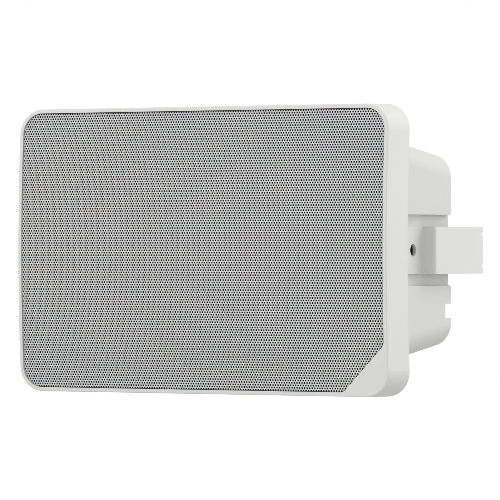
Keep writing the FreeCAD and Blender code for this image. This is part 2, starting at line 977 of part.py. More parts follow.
def crossover_screws():
    top = board_front - screw_head_height
    half = cross_width / 2
    screws = []
    for x, z in board_corners():
        body = rod(x, z, screw_head, top, board_front)
        body = body.fuse(rod(x, z, screw_thread, board_front, board_back + board_screw_grip))
        slot = box(x - screw_head, x + screw_head, top, top + screw_socket, z - half, z + half)
        screws.append(body.cut(slot))
    return screws


def inductor_x():
    return board_x - board_width / 2 + inductor_radius + inductor_inset


def crossover_bobbin():
    x = inductor_x()
    top = board_front - inductor_height
    core = rod(x, board_z, inductor_core, top, board_front)
    cheeks = [
        rod(x, board_z, inductor_radius, top, top + cheek),
        rod(x, board_z, inductor_radius, board_front - cheek, board_front),
    ]
    return core.fuse(cheeks).removeSplitter()


def crossover_coil():
    near = board_front - inductor_height + cheek
    return tube(inductor_x(), board_z, inductor_radius - coil_sunk, inductor_core, near, board_front - cheek)


def crossover_capacitor():
    end = board_x + board_width / 2 - capacitor_side
    z = board_z + board_height / 2 - capacitor_radius - capacitor_top
    return across(board_front - capacitor_radius, z, capacitor_radius, end - capacitor_length, end)


def crossover_resistor():
    end = board_x + board_width / 2 - resistor_side
    low = board_z - board_height / 2 + resistor_low
    return box(end - resistor_length, end, board_front - resistor_height, board_front,
               low, low + resistor_width)


def input_leads():
    pin_end = recess_floor - wall - pin_inside
    near = pin_end - input_run
    foot = board_z - board_height / 2 + lead_foot
    leads = []
    for k, z in enumerate(pole_places()):
        land = board_x + input_land + lead_pitch * k
        leads.append(lead([
            (pole_x, pin_end, z), (pole_x, near, z), (land, near - input_drop, foot),
            (land, board_front, foot),
        ]))
    return leads


def woofer_leads():
    x = woofer_tag_x()
    tag = woofer_face + basket_sheet + woofer_tag_deep
    over = board_front - lead_over_board
    land = board_x - board_width / 2 + lead_foot
    leads = []
    for k, z in enumerate((-lead_pitch / 2, lead_pitch / 2)):
        foot = board_z - woofer_land_drop + woofer_land_pitch * k
        leads.append(lead([
            (x, tag, z), (x, tag + woofer_run, z), (land, over, foot), (land, board_front, foot),
        ]))
    return leads


def tweeter_leads():
    tag = tweeter_rear + tweeter_tag_deep
    over = board_front - lead_over_board
    land = board_x + board_width / 2 - lead_foot
    leads = []
    for k, x in enumerate((tweeter_x - lead_pitch / 2, tweeter_x + lead_pitch / 2)):
        foot = board_z + tweeter_land_rise + tweeter_land_pitch * k
        leads.append(lead([
            (x, tag, 0), (x, tag + tweeter_run, 0), (land, over, foot), (land, board_front, foot),
        ]))
    return leads


nodes = {
    "wall_bracket": wall_bracket(),
    "front_frame": front_frame(),
    "grille": grille(),
    "grille_cloth": grille_cloth(),
    "cabinet_gasket": cabinet_gasket(),
    "rear_housing": rear_housing(),
    "housing_screws": housing_screws(),
    "pivot_insert_left": pivot_insert(-1),
    "pivot_insert_right": pivot_insert(1),
    "terminal_block": terminal_block(),
    "terminal_screws": terminal_screws(),
    "terminal_pins": terminal_pins(),
    "woofer_gasket": woofer_gasket(),
    "woofer_basket": woofer_basket(),
    "woofer_surround": woofer_surround(),
    "woofer_cone": woofer_cone(),
    "woofer_dust_cap": woofer_dust_cap(),
    "woofer_former": woofer_former(),
    "woofer_winding": woofer_winding(),
    "woofer_spider": woofer_spider(),
    "woofer_top_plate": woofer_top_plate(),
    "woofer_magnet": woofer_magnet(),
    "woofer_yoke": woofer_yoke(),
    "woofer_tag": woofer_tag(),
    "woofer_screws": woofer_screws(),
    "tweeter_gasket": tweeter_gasket(),
    "tweeter_faceplate": tweeter_faceplate(),
    "tweeter_dome": tweeter_dome(),
    "tweeter_coil": tweeter_coil(),
    "tweeter_top_plate": tweeter_top_plate(),
    "tweeter_magnet": tweeter_magnet(),
    "tweeter_yoke": tweeter_yoke(),
    "tweeter_tag": tweeter_tag(),
    "tweeter_screws": tweeter_screws(),
    "crossover_board": crossover_board(),
    "crossover_screws": crossover_screws(),
    "crossover_bobbin": crossover_bobbin(),
    "crossover_coil": crossover_coil(),
    "crossover_capacitor": crossover_capacitor(),
    "crossover_resistor": crossover_resistor(),
    "input_leads": input_leads(),
    "woofer_leads": woofer_leads(),
    "tweeter_leads": tweeter_leads(),
}

for name, shape in nodes.items():
    if isinstance(shape, list):
        shape = Part.makeCompound(shape)
    shape.exportStep("parts/" + name + ".step")
    print(name, "solids", len(shape.Solids), "valid", shape.isValid(), "volume", round(shape.Volume, 1))
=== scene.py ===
# white wall-mount cabinet speaker on its bracket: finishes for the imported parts, and the punched grille
import math

import bpy
import numpy as np
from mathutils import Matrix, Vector


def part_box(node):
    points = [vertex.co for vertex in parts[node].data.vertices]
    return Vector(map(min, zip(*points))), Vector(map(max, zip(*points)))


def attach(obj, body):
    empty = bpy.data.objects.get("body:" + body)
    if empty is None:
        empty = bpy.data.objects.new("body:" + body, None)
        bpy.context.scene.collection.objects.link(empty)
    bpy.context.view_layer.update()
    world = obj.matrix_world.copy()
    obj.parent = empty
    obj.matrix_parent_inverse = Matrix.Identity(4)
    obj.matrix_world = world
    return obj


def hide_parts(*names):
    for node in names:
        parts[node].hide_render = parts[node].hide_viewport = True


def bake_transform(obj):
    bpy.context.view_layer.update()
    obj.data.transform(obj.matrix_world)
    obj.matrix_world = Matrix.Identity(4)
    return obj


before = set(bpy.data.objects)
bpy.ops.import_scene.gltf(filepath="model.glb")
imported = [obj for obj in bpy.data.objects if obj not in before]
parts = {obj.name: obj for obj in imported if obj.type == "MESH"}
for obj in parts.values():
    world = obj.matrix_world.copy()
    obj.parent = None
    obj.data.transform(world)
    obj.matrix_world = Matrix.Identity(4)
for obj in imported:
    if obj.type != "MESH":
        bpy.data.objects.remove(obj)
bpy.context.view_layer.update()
print("parts loaded:", len(parts))


def putNode(tree, kind, settings=None, values=None):
    node = tree.nodes.new(kind)
    for key, value in (settings or {}).items():
        setattr(node, key, value)
    for key, value in (values or {}).items():
        node.inputs[key].default_value = value
    return node


def startSurface(name, sizeLabel, size):
    # every surface group takes one size and gives a height, a shade and a gloss
    group = bpy.data.node_groups.new(name, "ShaderNodeTree")
    socket = group.interface.new_socket(name=sizeLabel, in_out="INPUT", socket_type="NodeSocketFloat")
    socket.default_value = size
    for label in ("Height", "Shade", "Gloss"):
        group.interface.new_socket(name=label, in_out="OUTPUT", socket_type="NodeSocketFloat")
    given = group.nodes.new("NodeGroupInput").outputs[sizeLabel]
    result = group.nodes.new("NodeGroupOutput")
    place = group.nodes.new("ShaderNodeTexCoord").outputs["Object"]
    return group, given, result, place


def mathOf(group, operation, first, second=None):
    node = putNode(group, "ShaderNodeMath", {"operation": operation})
    for k, value in enumerate((first, second)):
        if isinstance(value, bpy.types.NodeSocket):
            group.links.new(value, node.inputs[k])
        elif value is not None:
            node.inputs[k].default_value = value
    return node.outputs[0]


def noiseOf(group, place, scale, detail, rough=0.55, stretch=None):
    noise = putNode(group, "ShaderNodeTexNoise", values={"Detail": detail, "Roughness": rough})
    if stretch:
        turn = putNode(group, "ShaderNodeMapping", values={"Scale": stretch})
        group.links.new(place, turn.inputs["Vector"])
        place = turn.outputs["Vector"]
    group.links.new(place, noise.inputs["Vector"])
    if isinstance(scale, bpy.types.NodeSocket):
        group.links.new(scale, noise.inputs["Scale"])
    else:
        noise.inputs["Scale"].default_value = scale
    return noise.outputs["Fac"]


def halfAndHalf(group, first, second, share=0.5):
    mix = putNode(group, "ShaderNodeMix", {"data_type": "FLOAT"}, {"Factor": share})
    group.links.new(first, mix.inputs["A"])
    group.links.new(second, mix.inputs["B"])
    return mix.outputs["Result"]


def giveOut(group, result, height, shade, gloss):
    group.links.new(height, result.inputs["Height"])
    group.links.new(shade, result.inputs["Shade"])
    group.links.new(gloss, result.inputs["Gloss"])
    return group


def makeMouldedGrain():
    # spark-eroded mould skin: fine pits with a slow drift in tone
    group, size, result, place = startSurface("mouldedGrain", "Pit size", 0.0005)
    pits = noiseOf(group, place, mathOf(group, "DIVIDE", 1.0, size), detail=3.0, rough=0.62)
    drift = noiseOf(group, place, 14.0, detail=2.0)
    return giveOut(group, result, pits, drift, halfAndHalf(group, pits, drift, share=0.4))


def makePowderCoat():
    # sprayed coat: rounded orange-peel swells and a few finer specks
    group, size, result, place = startSurface("powderCoat", "Swell size", 0.0011)
    rate = mathOf(group, "DIVIDE", 1.0, size)
    swells = noiseOf(group, place, rate, detail=1.0, rough=0.4)
    specks = noiseOf(group, place, mathOf(group, "MULTIPLY", rate, 3.5), detail=2.0, rough=0.5)
    drift = noiseOf(group, place, 11.0, detail=2.0)
    height = halfAndHalf(group, swells, specks, share=0.3)
    return giveOut(group, result, height, drift, halfAndHalf(group, specks, drift))


def makeClothWeave():
    # plain weave, over and under across x and z
    group, size, result, place = startSurface("clothWeave", "Thread", 0.0004)
    split = putNode(group, "ShaderNodeSeparateXYZ")
    group.links.new(place, split.inputs[0])
    rate = mathOf(group, "DIVIDE", math.pi, size)
    warp = mathOf(group, "SINE", mathOf(group, "MULTIPLY", split.outputs["X"], rate))
    weft = mathOf(group, "SINE", mathOf(group, "MULTIPLY", split.outputs["Z"], rate))
    over = mathOf(group, "GREATER_THAN", mathOf(group, "MULTIPLY", warp, weft), 0.0)
    threads = putNode(group, "ShaderNodeMix", {"data_type": "FLOAT"})
    group.links.new(over, threads.inputs["Factor"])
    group.links.new(mathOf(group, "ABSOLUTE", warp), threads.inputs["A"])
    group.links.new(mathOf(group, "ABSOLUTE", weft), threads.inputs["B"])
    height = threads.outputs["Result"]
    fuzz = noiseOf(group, place, mathOf(group, "MULTIPLY", rate, 0.7), detail=3.0)
    return giveOut(group, result, height, halfAndHalf(group, height, fuzz, share=0.4), fuzz)


def makeWireTurns():
    # wound wire, one round ridge a turn along y
    group, size, result, place = startSurface("wireTurns", "Turn pitch", 0.0005)
    split = putNode(group, "ShaderNodeSeparateXYZ")
    group.links.new(place, split.inputs[0])
    turns = mathOf(group, "MULTIPLY", split.outputs["Y"], mathOf(group, "DIVIDE", math.pi, size))
    ridge = mathOf(group, "ABSOLUTE", mathOf(group, "SINE", turns))
    drift = noiseOf(group, place, 180.0, detail=2.0)
    return giveOut(group, result, ridge, halfAndHalf(group, ridge, drift, share=0.45), drift)


def makePlatedMetal():
    # plating over drawn or pressed metal: streaks and a cloudy bloom
    group, size, result, place = startSurface("platedMetal", "Streak size", 0.0006)
    rate = mathOf(group, "DIVIDE", 1.0, size)
    streaks = noiseOf(group, place, rate, detail=2.0, rough=0.5, stretch=(1.0, 9.0, 1.0))
    bloom = noiseOf(group, place, 70.0, detail=3.0)
    return giveOut(group, result, streaks, halfAndHalf(group, streaks, bloom, share=0.6), streaks)


def makePressedPulp():
    # pressed fibre and sintered powder: clumps over a fine tooth
    group, size, result, place = startSurface("pressedPulp", "Clump size", 0.0016)
    rate = mathOf(group, "DIVIDE", 1.0, size)
    clumps = noiseOf(group, place, rate, detail=5.0, rough=0.65)
    tooth = noiseOf(group, place, mathOf(group, "MULTIPLY", rate, 6.0), detail=2.0)
    return giveOut(group, result, halfAndHalf(group, clumps, tooth, share=0.4), clumps, tooth)


def makeFoamCells():
    # closed cells, dark between and domed
    group, size, result, place = startSurface("foamCells", "Cell size", 0.0007)
    cells = putNode(group, "ShaderNodeTexVoronoi")
    group.links.new(place, cells.inputs["Vector"])
    group.links.new(mathOf(group, "DIVIDE", 1.0, size), cells.inputs["Scale"])
    dome = mathOf(group, "SUBTRACT", 1.0, cells.outputs["Distance"])
    drift = noiseOf(group, place, 120.0, detail=2.0)
    return giveOut(group, result, dome, halfAndHalf(group, dome, drift), drift)


def makeBoardTracks():
    # copper runs showing under a green mask
    group, size, result, place = startSurface("boardTracks", "Track pitch", 0.0055)
    turn = putNode(group, "ShaderNodeMapping", values={"Rotation": (math.pi / 2, 0.0, 0.0)})
    group.links.new(place, turn.inputs["Vector"])
    tracks = putNode(group, "ShaderNodeTexBrick", {"offset": 0.37, "squash": 1.6}, {
        "Mortar Size": 0.055, "Mortar Smooth": 0.25, "Brick Width": 1.3, "Row Height": 0.6})
    group.links.new(turn.outputs["Vector"], tracks.inputs["Vector"])
    group.links.new(mathOf(group, "DIVIDE", 1.0, size), tracks.inputs["Scale"])
    drift = noiseOf(group, place, 90.0, detail=3.0)
    raised = mathOf(group, "SUBTRACT", 1.0, tracks.outputs["Fac"])
    return giveOut(group, result, raised, halfAndHalf(group, raised, drift, share=0.4), drift)


mouldedGrain = makeMouldedGrain()
powderCoat = makePowderCoat()
clothWeave = makeClothWeave()
wireTurns = makeWireTurns()
platedMetal = makePlatedMetal()
pressedPulp = makePressedPulp()
foamCells = makeFoamCells()
boardTracks = makeBoardTracks()
print("surface groups ready")


glossSpan = (0.25, 0.75)  # where the gloss of the groups mostly lies


def makeFinish(name, look):
    # pale and deep tones over the group's shade, roughness over its gloss, bump from its height
    finish = bpy.data.materials.new(name)
    finish.use_nodes = True
    tree = finish.node_tree
    shader = tree.nodes["Principled BSDF"]
    surface = putNode(tree, "ShaderNodeGroup", {"node_tree": look["surface"]})
    surface.inputs[0].default_value = look["size"]
    tone = putNode(tree, "ShaderNodeMix", {"data_type": "RGBA"})
    tone.inputs["A"].default_value = (*look["deep"], 1.0)
    tone.inputs["B"].default_value = (*look["pale"], 1.0)
    tree.links.new(surface.outputs["Shade"], tone.inputs["Factor"])
    tree.links.new(tone.outputs["Result"], shader.inputs["Base Color"])
    gloss = putNode(tree, "ShaderNodeMapRange", values={
        "From Min": glossSpan[0], "From Max": glossSpan[1],
        "To Min": look["rough"][0], "To Max": look["rough"][1]})
    tree.links.new(surface.outputs["Gloss"], gloss.inputs["Value"])
    tree.links.new(gloss.outputs["Result"], shader.inputs["Roughness"])
    relief = putNode(tree, "ShaderNodeBump", values={
        "Strength": look["relief"], "Distance": look["deepness"]})
    tree.links.new(surface.outputs["Height"], relief.inputs["Height"])
    tree.links.new(relief.outputs["Normal"], shader.inputs["Normal"])
    shader.inputs["Metallic"].default_value = look.get("metal", 0.0)
    shader.inputs["Coat Weight"].default_value = look.get("coat", 0.0)
    shader.inputs["Sheen Weight"].default_value = look.get("sheen", 0.0)
    shader.inputs["Specular IOR Level"].default_value = look.get("shine", 0.5)
    return finish


def dress(finish, *names):
    for name in names:
        mesh = parts[name].data
        mesh.materials.clear()
        mesh.materials.append(finish)


# cabinet mouldings, one plastic: the front frame painted lighter and the housing painted darker, as
# painted shade from the frame's overhang
# front frame tone raised a little: painted light on the same plastic as the housing
frontLitSkin = {
    "surface": mouldedGrain, "size": 0.00045,
    "pale": (0.822, 0.822, 0.809), "deep": (0.797, 0.797, 0.784),
    "rough": (0.40, 0.54), "relief": 0.1, "deepness": 0.00003, "shine": 0.4,
}
dress(makeFinish("frontPlasticPaintedLight", frontLitSkin), "front_frame")
# housing tone lowered: painted shade, standing in for the shade the front frame's overhang casts on it
housingShadedSkin = {
    "surface": mouldedGrain, "size": 0.0006,
    "pale": (0.745, 0.745, 0.732), "deep": (0.72, 0.72, 0.706),
    "rough": (0.44, 0.58), "relief": 0.35, "deepness": 0.00004, "shine": 0.4,
}
dress(makeFinish("housingPlasticPaintedShade", housingShadedSkin), "rear_housing")

# bent steel bracket
bracketCoat = {
    "surface": powderCoat, "size": 0.0012,
    "pale": (0.775, 0.775, 0.762), "deep": (0.755, 0.755, 0.742),
    "rough": (0.38, 0.5), "relief": 0.3, "deepness": 0.00004, "shine": 0.45,
}
dress(makeFinish("bracketPaint", bracketCoat), "wall_bracket")

# black cloth behind the grille
clothLook = {
    "surface": clothWeave, "size": 0.00032,
    "pale": (0.016, 0.016, 0.017), "deep": (0.003, 0.003, 0.003),
    "rough": (0.85, 1.0), "relief": 0.6, "deepness": 0.00012, "shine": 0.15,
}
dress(makeFinish("grilleClothBlack", clothLook), "grille_cloth")

# gaskets
gasketLook = {
    "surface": foamCells, "size": 0.0007,
    "pale": (0.06, 0.06, 0.062), "deep": (0.02, 0.02, 0.021),
    "rough": (0.8, 0.95), "relief": 0.6, "deepness": 0.0002,
}
dress(makeFinish("gasketFoam", gasketLook), "cabinet_gasket", "woofer_gasket", "tweeter_gasket")

# screws and pivot inserts
screwLook = {
    "surface": platedMetal, "size": 0.0007,
    "pale": (0.74, 0.74, 0.72), "deep": (0.58, 0.58, 0.58),
    "rough": (0.24, 0.42), "relief": 0.15, "deepness": 0.00003, "metal": 1.0,
}
dress(makeFinish("zincPlate", screwLook), "housing_screws", "woofer_screws", "tweeter_screws",
      "crossover_screws", "terminal_screws")
# inserts painted near black: painted shade for the dark inside of the pivot holes
insertShadeLook = {
    "surface": platedMetal, "size": 0.0006,
    "pale": (0.11, 0.11, 0.112), "deep": (0.07, 0.07, 0.072),
    "rough": (0.42, 0.6), "relief": 0.2, "deepness": 0.00003, "metal": 0.6,
}
dress(makeFinish("insertDarkPaintedShade", insertShadeLook), "pivot_insert_left", "pivot_insert_right")
pinLook = {
    "surface": platedMetal, "size": 0.0005,
    "pale": (0.80, 0.62, 0.30), "deep": (0.66, 0.48, 0.2),
    "rough": (0.22, 0.38), "relief": 0.15, "deepness": 0.00002, "metal": 1.0,
}
dress(makeFinish("pinBrass", pinLook), "terminal_pins")

# terminal block
blockLook = {
    "surface": mouldedGrain, "size": 0.0004,
    "pale": (0.032, 0.032, 0.034), "deep": (0.022, 0.022, 0.023),
    "rough": (0.42, 0.58), "relief": 0.4, "deepness": 0.00003,
}
dress(makeFinish("terminalBlack", blockLook), "terminal_block")

# woofer
basketLook = {
    "surface": powderCoat, "size": 0.001,
    "pale": (0.035, 0.035, 0.036), "deep": (0.022, 0.022, 0.023),
    "rough": (0.4, 0.55), "relief": 0.35, "deepness": 0.00005,
}
dress(makeFinish("basketPaint", basketLook), "woofer_basket")
surroundLook = {
    "surface": mouldedGrain, "size": 0.0003,
    "pale": (0.03, 0.03, 0.031), "deep": (0.018, 0.018, 0.018),
    "rough": (0.6, 0.75), "relief": 0.3, "deepness": 0.00003,
}
dress(makeFinish("surroundRubber", surroundLook), "woofer_surround")
coneLook = {
    "surface": pressedPulp, "size": 0.0016,
    "pale": (0.05, 0.05, 0.052), "deep": (0.026, 0.026, 0.027),
    "rough": (0.75, 0.92), "relief": 0.5, "deepness": 0.00012, "sheen": 0.1,
}
dress(makeFinish("conePulp", coneLook), "woofer_cone", "woofer_dust_cap")
formerLook = {
    "surface": platedMetal, "size": 0.0008,
    "pale": (0.80, 0.80, 0.82), "deep": (0.66, 0.66, 0.68),
    "rough": (0.2, 0.34), "relief": 0.1, "deepness": 0.00002, "metal": 1.0,
}
dress(makeFinish("formerFoil", formerLook), "woofer_former")
windingLook = {
    "surface": wireTurns, "size": 0.00045,
    "pale": (0.78, 0.40, 0.20), "deep": (0.40, 0.16, 0.07),
    "rough": (0.22, 0.36), "relief": 0.8, "deepness": 0.00018, "metal": 1.0, "coat": 0.5,
}
dress(makeFinish("windingCopper", windingLook), "woofer_winding", "tweeter_coil", "crossover_coil")
spiderLook = {
    "surface": clothWeave, "size": 0.0006,
    "pale": (0.66, 0.45, 0.16), "deep": (0.40, 0.25, 0.07),
    "rough": (0.7, 0.9), "relief": 0.7, "deepness": 0.0002,
}
dress(makeFinish("spiderCloth", spiderLook), "woofer_spider")
poleLook = {
    "surface": platedMetal, "size": 0.0012,
    "pale": (0.64, 0.64, 0.65), "deep": (0.50, 0.50, 0.52),
    "rough": (0.28, 0.45), "relief": 0.2, "deepness": 0.00004, "metal": 1.0,
}
dress(makeFinish("poleSteel", poleLook), "woofer_top_plate", "woofer_yoke", "tweeter_top_plate",
      "tweeter_yoke")
magnetLook = {
    "surface": pressedPulp, "size": 0.0011,
    "pale": (0.075, 0.075, 0.08), "deep": (0.04, 0.04, 0.043),
    "rough": (0.55, 0.75), "relief": 0.4, "deepness": 0.0001,
}
dress(makeFinish("magnetFerrite", magnetLook), "woofer_magnet", "tweeter_magnet")
tagLook = {
    "surface": pressedPulp, "size": 0.0009,
    "pale": (0.32, 0.19, 0.09), "deep": (0.22, 0.12, 0.05),
    "rough": (0.5, 0.7), "relief": 0.3, "deepness": 0.00006,
}
dress(makeFinish("tagPhenolic", tagLook), "woofer_tag", "tweeter_tag")

# tweeter
plateLook = {
    "surface": mouldedGrain, "size": 0.0004,
    "pale": (0.03, 0.03, 0.031), "deep": (0.02, 0.02, 0.021),
    "rough": (0.45, 0.6), "relief": 0.4, "deepness": 0.00003,
}
dress(makeFinish("tweeterPlateBlack", plateLook), "tweeter_faceplate")
domeLook = {
    "surface": clothWeave, "size": 0.00022,
    "pale": (0.06, 0.06, 0.066), "deep": (0.03, 0.03, 0.033),
    "rough": (0.5, 0.7), "relief": 0.5, "deepness": 0.00006, "sheen": 0.2,
}
dress(makeFinish("domeSilk", domeLook), "tweeter_dome")

# crossover
boardLook = {
    "surface": boardTracks, "size": 0.0055,
    "pale": (0.07, 0.30, 0.12), "deep": (0.035, 0.17, 0.065),
    "rough": (0.25, 0.4), "relief": 0.5, "deepness": 0.00006, "coat": 0.3,
}
dress(makeFinish("boardMask", boardLook), "crossover_board")
bobbinLook = {
    "surface": mouldedGrain, "size": 0.0005,
    "pale": (0.76, 0.74, 0.66), "deep": (0.70, 0.68, 0.59),
    "rough": (0.4, 0.55), "relief": 0.25, "deepness": 0.00003,
}
dress(makeFinish("bobbinNylon", bobbinLook), "crossover_bobbin")
capacitorLook = {
    "surface": powderCoat, "size": 0.002,
    "pale": (0.76, 0.60, 0.12), "deep": (0.66, 0.50, 0.08),
    "rough": (0.18, 0.3), "relief": 0.2, "deepness": 0.00005, "coat": 0.6,
}
dress(makeFinish("capacitorWrap", capacitorLook), "crossover_capacitor")
resistorLook = {
    "surface": pressedPulp, "size": 0.0008,
    "pale": (0.74, 0.72, 0.67), "deep": (0.62, 0.60, 0.55),
    "rough": (0.8, 0.95), "relief": 0.5, "deepness": 0.00012,
}
dress(makeFinish("resistorCement", resistorLook), "crossover_resistor")
leadLook = {
    "surface": mouldedGrain, "size": 0.0003,
    "pale": (0.05, 0.05, 0.052), "deep": (0.03, 0.03, 0.031),
    "rough": (0.45, 0.6), "relief": 0.2, "deepness": 0.00002,
}
dress(makeFinish("leadJacket", leadLook), "input_leads", "woofer_leads", "tweeter_leads")
print("parts dressed")


# the rubber roll and the spider, each copied as a piece of its own in place of the imported part
flexRings = {
    "woofer_surround": {
        "name": "rubberRoll", "slot": "surround_rubber", "inside": "woofer_cone", "width": 0.008},
    "woofer_spider": {
        "name": "spiderDisc", "slot": "spider_cloth", "inside": "woofer_former", "width": 0.019},
}


def makeFlexRing(node, ring):
    low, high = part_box(ring["inside"])
    piece = bpy.data.objects.new(ring["name"], parts[node].data.copy())
    piece.data.name = piece.name
    bpy.context.collection.objects.link(piece)
    spots = np.zeros(len(piece.data.vertices) * 3, np.float32)
    piece.data.vertices.foreach_get("co", spots)
    spots = spots.reshape(-1, 3)
    # the ring is laid out by its radius, its transform applied, and its points then put back as they were
    laidOut = np.zeros_like(spots)
    laidOut[:, 0] = np.hypot(spots[:, 0] - (low.x + high.x) / 2, spots[:, 2] - (low.z + high.z) / 2)
    piece.data.vertices.foreach_set("co", laidOut.ravel())
    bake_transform(piece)
    piece.data.vertices.foreach_set("co", spots.ravel())
    piece.data.update()
    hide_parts(node)


for ringNode, ringShape in flexRings.items():
    makeFlexRing(ringNode, ringShape)


# punched grille sheet, in metres
grille = {"pitch": 0.00169, "hole": 0.0012, "thickness": 0.0005, "bow": 1.0, "corner": 0.01225,
          "cutLeg": 0.02744, "cutRound": 0.00555, "cornerSteps": 8, "cutSteps": 3, "bands": 4,
          "weld": 0.00002, "bisect": 0.0000001, "smoothAngle": 30}
# flat map of one band, in widths of the band; each wall is drawn in towards its hole's middle
bakeMap = {"widths": 2.1, "rearShift": 1.05, "spare": 1.02, "margin": 0.01, "wallPull": 0.55}
grilleCoat = {
    "surface": powderCoat, "size": 0.0009,
    "pale": (0.709, 0.70, 0.713), "deep": (0.689, 0.68, 0.693),
    "rough": (0.38, 0.5), "relief": 0.25, "deepness": 0.00002, "shine": 0.45,
}
grillePaint = makeFinish("grillePaint", grilleCoat)
sheetLow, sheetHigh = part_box("grille")
rowStep = grille["pitch"] * math.sqrt(0.75)
print("grille box:", [round(v, 5) for v in sheetLow], [round(v, 5) for v in sheetHigh])


def growCells():
    # one hexagonal cell with a hole of the round one's area, then a pair of rows, then the whole field
    pitch = grille["pitch"]
    holeFlat = grille["hole"] * math.sqrt(math.pi / (8 * math.sqrt(3)))
    across = int((sheetHigh.x - sheetLow.x) / pitch) + 3
    up = int((sheetHigh.z - sheetLow.z) / (2 * rowStep)) + 2
    bpy.ops.object.select_all(action="DESELECT")
    bpy.ops.mesh.primitive_circle_add(vertices=6, radius=pitch / math.sqrt(3), fill_type="NGON",
                                      rotation=(math.pi / 2, 0.0, 0.0))
    field = bpy.context.object
    field.name = "grilleField"
    bpy.ops.object.transform_apply(location=True, rotation=True, scale=True)
    bpy.ops.object.mode_set(mode="EDIT")
    bpy.ops.mesh.select_all(action="SELECT")
    bpy.ops.mesh.inset(thickness=pitch / 2 - holeFlat)
    bpy.ops.mesh.delete(type="FACE")
    bpy.ops.mesh.select_all(action="SELECT")
    bpy.ops.mesh.duplicate()
    bpy.ops.transform.translate(value=(pitch / 2, 0.0, rowStep))
    bpy.ops.object.mode_set(mode="OBJECT")
    for count, step in ((across, (pitch, 0.0, 0.0)), (up, (0.0, 0.0, 2 * rowStep))):
        bpy.ops.object.modifier_add(type="ARRAY")
        repeat = field.modifiers[-1]
        repeat.count = count
        repeat.use_relative_offset = False
        repeat.use_constant_offset = True
        repeat.constant_offset_displace = step
        bpy.ops.object.modifier_apply(modifier=repeat.name)
    bpy.ops.object.mode_set(mode="EDIT")
    bpy.ops.mesh.select_all(action="SELECT")
    bpy.ops.mesh.remove_doubles(threshold=grille["weld"])
    leftCells, lowCells = math.ceil(across / 2), up // 2
    bpy.ops.transform.translate(value=(-leftCells * pitch, sheetLow.y, -lowCells * 2 * rowStep))
    bpy.ops.object.mode_set(mode="OBJECT")
    return field


def outlineCuts():
    # places and outward directions round the sheet's edge, corners as short facets;
    # each cut is a middle, a distance from it and an angle
    wide, high, corner = sheetHigh.x, sheetHigh.z, grille["corner"]
    cuts = [((wide, 0.0), 0.0, 0), ((0.0, high), 0.0, 90),
            ((-wide, 0.0), 0.0, 180), ((0.0, -high), 0.0, 270)]
    steps = grille["cornerSteps"]
    for sideX, sideZ, first in ((1, 1, 0), (-1, 1, 90), (-1, -1, 180)):
        middle = (sideX * (wide - corner), sideZ * (high - corner))
        for k in range(1, steps + 1):
            cuts.append((middle, corner, first + 90.0 * k / (steps + 1)))
    slant = (wide + high - grille["cutLeg"]) / math.sqrt(2)
    turn = grille["cutRound"]
    inner = math.sqrt(2) * (slant - turn)
    cuts.append(((0.0, 0.0), slant, 315))
    for k in range(1, grille["cutSteps"] + 1):
        swing = 45.0 * k / (grille["cutSteps"] + 1)
        cuts.append(((wide - turn, wide - turn - inner), turn, 360 - swing))
        cuts.append(((inner + turn - high, turn - high), turn, 270 + swing))
    edges = []
    for (x, z), distance, degrees in cuts:
        angle = math.radians(degrees)
        away = Vector((math.cos(angle), 0.0, math.sin(angle)))
        edges.append((Vector((x, 0.0, z)) + away * distance, away))
    return edges


def trimField(field, edges):
    bpy.context.view_layer.objects.active = field
    bpy.ops.object.mode_set(mode="EDIT")
    for place, away in edges:
        bpy.ops.mesh.select_all(action="SELECT")
        bpy.ops.mesh.bisect(plane_co=place, plane_no=away, clear_outer=True, threshold=grille["bisect"])
    bpy.ops.object.mode_set(mode="OBJECT")


def bowAt(z):
    return grille["bow"] - np.sqrt(grille["bow"] ** 2 - z ** 2)


def mapForBake(mesh):
    # flat map: front on one half, back on the other, each hole's wall laid inside its hole
    pitch = grille["pitch"]
    spots = np.zeros(len(mesh.vertices) * 3)
    mesh.vertices.foreach_get("co", spots)
    spots = spots.reshape(-1, 3)
    corners = np.zeros(len(mesh.loops), int)
    mesh.loops.foreach_get("vertex_index", corners)
    starts = np.zeros(len(mesh.polygons), int)
    counts = np.zeros(len(mesh.polygons), int)
    normals = np.zeros(len(mesh.polygons) * 3)
    centres = np.zeros(len(mesh.polygons) * 3)
    mesh.polygons.foreach_get("loop_start", starts)
    mesh.polygons.foreach_get("loop_total", counts)
    mesh.polygons.foreach_get("normal", normals)
    mesh.polygons.foreach_get("center", centres)
    face = np.repeat(np.arange(len(counts)), counts)
    facing = normals.reshape(-1, 3)[face, 1]
    middle = centres.reshape(-1, 3)[face]
    row = np.round(middle[:, 2] / rowStep)
    shift = np.where(row % 2, pitch / 2, 0.0)
    holeX = np.round((middle[:, 0] - shift) / pitch) * pitch + shift
    holeZ = row * rowStep
    x, y, z = spots[corners].T
    rear = y - bowAt(z) - sheetLow.y > grille["thickness"] / 2
    wall = np.abs(facing) < 0.5
    pull = np.where(wall & rear, bakeMap["wallPull"], 1.0)
    u = holeX + (x - holeX) * pull
    v = holeZ + (z - holeZ) * pull
    low, width = x.min(), x.max() - x.min()
    span = max(bakeMap["widths"] * width, sheetHigh.z - sheetLow.z) * bakeMap["spare"]
    u = u - low + np.where(~wall & rear, bakeMap["rearShift"] * width, 0.0)
    layer = mesh.uv_layers.new(name="OFBake")
    flat = np.column_stack([u, v - sheetLow.z]) / span + bakeMap["margin"]
    layer.data.foreach_set("uv", flat.astype(np.float32).ravel())


